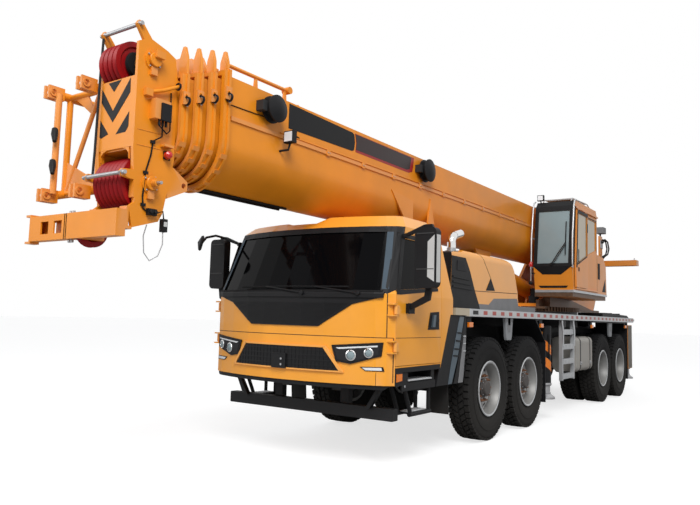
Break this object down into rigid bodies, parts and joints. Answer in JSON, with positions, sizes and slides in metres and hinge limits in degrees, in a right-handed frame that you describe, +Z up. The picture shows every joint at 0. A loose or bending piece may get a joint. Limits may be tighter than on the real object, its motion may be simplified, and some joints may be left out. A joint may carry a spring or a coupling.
{
  "type": "mobile crane",
  "caption": "Four-axle road-going mobile crane with telescopic boom, slewing operator cab, outriggers, lift cylinder and stowed lattice jib",
  "frame": {"origin": "on the ground at the middle of the overall length and width", "axes": "+X forward along the boom, +Y to the left side, +Z up"},
  "size_m": [14.2, 3.26, 3.975],
  "materials": {
    "cab_yellow": "gloss",
    "crane_orange": "gloss",
    "frame_black": "satin",
    "deck_grey": "satin",
    "glass_dark": "clear",
    "glass_tint": "clear",
    "trim_black": "matte",
    "lamp_clear": "gloss",
    "interior_dark": "matte",
    "bar_grey": "satin",
    "step_aluminium": "brushed",
    "guard_black": "matte",
    "engine_grey": "rough",
    "pipe_chrome": "polished",
    "tank_grey": "satin",
    "tyre_black": "matte",
    "jack_steel": "brushed",
    "sheave_red": "satin",
    "mirror_black": "gloss",
    "winch_dark": "satin"
  },
  "bodies": {
    "carrier": {"chassis_frame": "frame_black", "deck": "deck_grey", "cab_shell": "cab_yellow", "cab_glass": "glass_dark", "cab_trim": "trim_black", "lamps": "lamp_clear", "cab_interior": "interior_dark", "front_guard": "bar_grey", "access_steps": "step_aluminium", "mudguards": "guard_black", "engine_hood": "cab_yellow", "engine_block": "engine_grey", "exhaust_pipe": "pipe_chrome", "side_tanks": "tank_grey", "axles": "frame_black", "boom_rest": "crane_orange"},
    "cab_door_left": {"door_left": "cab_yellow", "door_left_glass": "glass_dark", "mirror_left": "mirror_black"},
    "cab_door_right": {"door_right": "cab_yellow", "door_right_glass": "glass_dark", "mirror_right": "mirror_black"},
    "steer_1_left": {"knuckle_1_left": "frame_black"},
    "steer_1_right": {"knuckle_1_right": "frame_black"},
    "steer_2_left": {"knuckle_2_left": "frame_black"},
    "steer_2_right": {"knuckle_2_right": "frame_black"},
    "roll_1_left": {"wheel_1_left": "tyre_black"},
    "roll_1_right": {"wheel_1_right": "tyre_black"},
    "roll_2_left": {"wheel_2_left": "tyre_black"},
    "roll_2_right": {"wheel_2_right": "tyre_black"},
    "roll_3_left": {"wheel_3_left": "tyre_black"},
    "roll_3_right": {"wheel_3_right": "tyre_black"},
    "roll_4_left": {"wheel_4_left": "tyre_black"},
    "roll_4_right": {"wheel_4_right": "tyre_black"},
    "beam_fl": {"outrigger_beam_fl": "crane_orange"},
    "jack_fl": {"outrigger_jack_fl": "jack_steel"},
    "beam_fr": {"outrigger_beam_fr": "crane_orange"},
    "jack_fr": {"outrigger_jack_fr": "jack_steel"},
    "beam_rl": {"outrigger_beam_rl": "crane_orange"},
    "jack_rl": {"outrigger_jack_rl": "jack_steel"},
    "beam_rr": {"outrigger_beam_rr": "crane_orange"},
    "jack_rr": {"outrigger_jack_rr": "jack_steel"},
    "upper": {"turntable": "crane_orange", "operator_cab": "crane_orange", "operator_cab_glass": "glass_tint", "operator_seat": "interior_dark", "winches": "winch_dark", "tail_beam": "crane_orange"},
    "sliding_door": {"operator_door": "crane_orange", "operator_door_glass": "glass_tint"},
    "boom": {"boom_base": "crane_orange", "lattice_jib": "crane_orange"},
    "tele_1": {"boom_section_2": "crane_orange"},
    "tele_2": {"boom_section_3": "crane_orange"},
    "tele_3": {"boom_section_4": "crane_orange"},
    "tele_4": {"boom_section_5": "crane_orange", "boom_sheaves": "sheave_red", "auxiliary_nose": "crane_orange"},
    "lift_barrel": {"lift_cylinder": "crane_orange"},
    "lift_piston": {"lift_rod": "jack_steel"}
  },
  "joints": [
    {"name": "door_left", "type": "hinge", "parent": "carrier", "child": "cab_door_left", "pos_m": [4.442, 1.258, 1.45], "axis": [0, 0, -1], "range_deg": [0, 70]},
    {"name": "door_right", "type": "hinge", "parent": "carrier", "child": "cab_door_right", "pos_m": [4.442, -1.258, 1.45], "axis": [0, 0, 1], "range_deg": [0, 70]},
    {"name": "steer_1_left", "type": "hinge", "parent": "carrier", "child": "steer_1_left", "pos_m": [1.95, 0.96, 0.67], "axis": [0, 0, 1], "range_deg": [-30, 30]},
    {"name": "steer_1_right", "type": "hinge", "parent": "carrier", "child": "steer_1_right", "pos_m": [1.95, -0.96, 0.67], "axis": [0, 0, 1], "range_deg": [-30, 30]},
    {"name": "steer_2_left", "type": "hinge", "parent": "carrier", "child": "steer_2_left", "pos_m": [0.5, 0.96, 0.67], "axis": [0, 0, 1], "range_deg": [-22.5, 22.5]},
    {"name": "steer_2_right", "type": "hinge", "parent": "carrier", "child": "steer_2_right", "pos_m": [0.5, -0.96, 0.67], "axis": [0, 0, 1], "range_deg": [-22.5, 22.5]},
    {"name": "roll_1_left", "type": "hinge", "parent": "steer_1_left", "child": "roll_1_left", "pos_m": [1.95, 1.075, 0.67], "axis": [0, 1, 0], "continuous": true},
    {"name": "roll_1_right", "type": "hinge", "parent": "steer_1_right", "child": "roll_1_right", "pos_m": [1.95, -1.075, 0.67], "axis": [0, 1, 0], "continuous": true},
    {"name": "roll_2_left", "type": "hinge", "parent": "steer_2_left", "child": "roll_2_left", "pos_m": [0.5, 1.075, 0.67], "axis": [0, 1, 0], "continuous": true},
    {"name": "roll_2_right", "type": "hinge", "parent": "steer_2_right", "child": "roll_2_right", "pos_m": [0.5, -1.075, 0.67], "axis": [0, 1, 0], "continuous": true},
    {"name": "roll_3_left", "type": "hinge", "parent": "carrier", "child": "roll_3_left", "pos_m": [-3.77, 1.075, 0.67], "axis": [0, 1, 0], "continuous": true},
    {"name": "roll_3_right", "type": "hinge", "parent": "carrier", "child": "roll_3_right", "pos_m": [-3.77, -1.075, 0.67], "axis": [0, 1, 0], "continuous": true},
    {"name": "roll_4_left", "type": "hinge", "parent": "carrier", "child": "roll_4_left", "pos_m": [-5.17, 1.075, 0.67], "axis": [0, 1, 0], "continuous": true},
    {"name": "roll_4_right", "type": "hinge", "parent": "carrier", "child": "roll_4_right", "pos_m": [-5.17, -1.075, 0.67], "axis": [0, 1, 0], "continuous": true},
    {"name": "outrigger_fl", "type": "slide", "parent": "carrier", "child": "beam_fl", "axis": [0, 1, 0], "range_m": [0, 1.6]},
    {"name": "jack_fl", "type": "slide", "parent": "beam_fl", "child": "jack_fl", "axis": [0, 0, -1], "range_m": [0, 0.55]},
    {"name": "outrigger_fr", "type": "slide", "parent": "carrier", "child": "beam_fr", "axis": [0, -1, 0], "range_m": [0, 1.6]},
    {"name": "jack_fr", "type": "slide", "parent": "beam_fr", "child": "jack_fr", "axis": [0, 0, -1], "range_m": [0, 0.55]},
    {"name": "outrigger_rl", "type": "slide", "parent": "carrier", "child": "beam_rl", "axis": [0, 1, 0], "range_m": [0, 1.6]},
    {"name": "jack_rl", "type": "slide", "parent": "beam_rl", "child": "jack_rl", "axis": [0, 0, -1], "range_m": [0, 0.55]},
    {"name": "outrigger_rr", "type": "slide", "parent": "carrier", "child": "beam_rr", "axis": [0, -1, 0], "range_m": [0, 1.6]},
    {"name": "jack_rr", "type": "slide", "parent": "beam_rr", "child": "jack_rr", "axis": [0, 0, -1], "range_m": [0, 0.55]},
    {"name": "slew", "type": "hinge", "parent": "carrier", "child": "upper", "pos_m": [-2.95, 0, 1.76], "axis": [0, 0, 1], "continuous": true},
    {"name": "operator_door", "type": "slide", "parent": "upper", "child": "sliding_door", "axis": [-1, 0, 0], "range_m": [0, 0.62]},
    {"name": "luff", "type": "hinge", "parent": "upper", "child": "boom", "pos_m": [-4.95, 0, 3.05], "axis": [0, -1, 0], "range_deg": [0, 78]},
    {"name": "telescope_1", "type": "slide", "parent": "boom", "child": "tele_1", "axis": [1, 0, 0], "range_m": [0, 8.6]},
    {"name": "telescope_2", "type": "slide", "parent": "tele_1", "child": "tele_2", "axis": [1, 0, 0], "range_m": [0, 8.6]},
    {"name": "telescope_3", "type": "slide", "parent": "tele_2", "child": "tele_3", "axis": [1, 0, 0], "range_m": [0, 8.6]},
    {"name": "telescope_4", "type": "slide", "parent": "tele_3", "child": "tele_4", "axis": [1, 0, 0], "range_m": [0, 8.6]},
    {"name": "lift_swing", "type": "hinge", "parent": "upper", "child": "lift_barrel", "pos_m": [-3.35, 0, 2.1], "axis": [0, -1, 0], "range_deg": [0, 83]},
    {"name": "lift_stroke", "type": "slide", "parent": "lift_barrel", "child": "lift_piston", "axis": [0.9877, 0, 0.1563], "range_m": [0, 2.3174]}
  ],
  "couplings": [
    {"joint": "steer_1_right", "follows": "steer_1_left", "ratio": 1},
    {"joint": "steer_2_left", "follows": "steer_1_left", "ratio": 0.75},
    {"joint": "steer_2_right", "follows": "steer_1_left", "ratio": 0.75},
    {"joint": "telescope_2", "follows": "telescope_1", "ratio": 1},
    {"joint": "telescope_3", "follows": "telescope_1", "ratio": 1},
    {"joint": "telescope_4", "follows": "telescope_1", "ratio": 1},
    {"joint": "lift_swing", "follows": "luff", "ratio": 1.0635},
    {"joint": "lift_stroke", "follows": "luff", "m_per_rad": 1.7016}
  ]
}
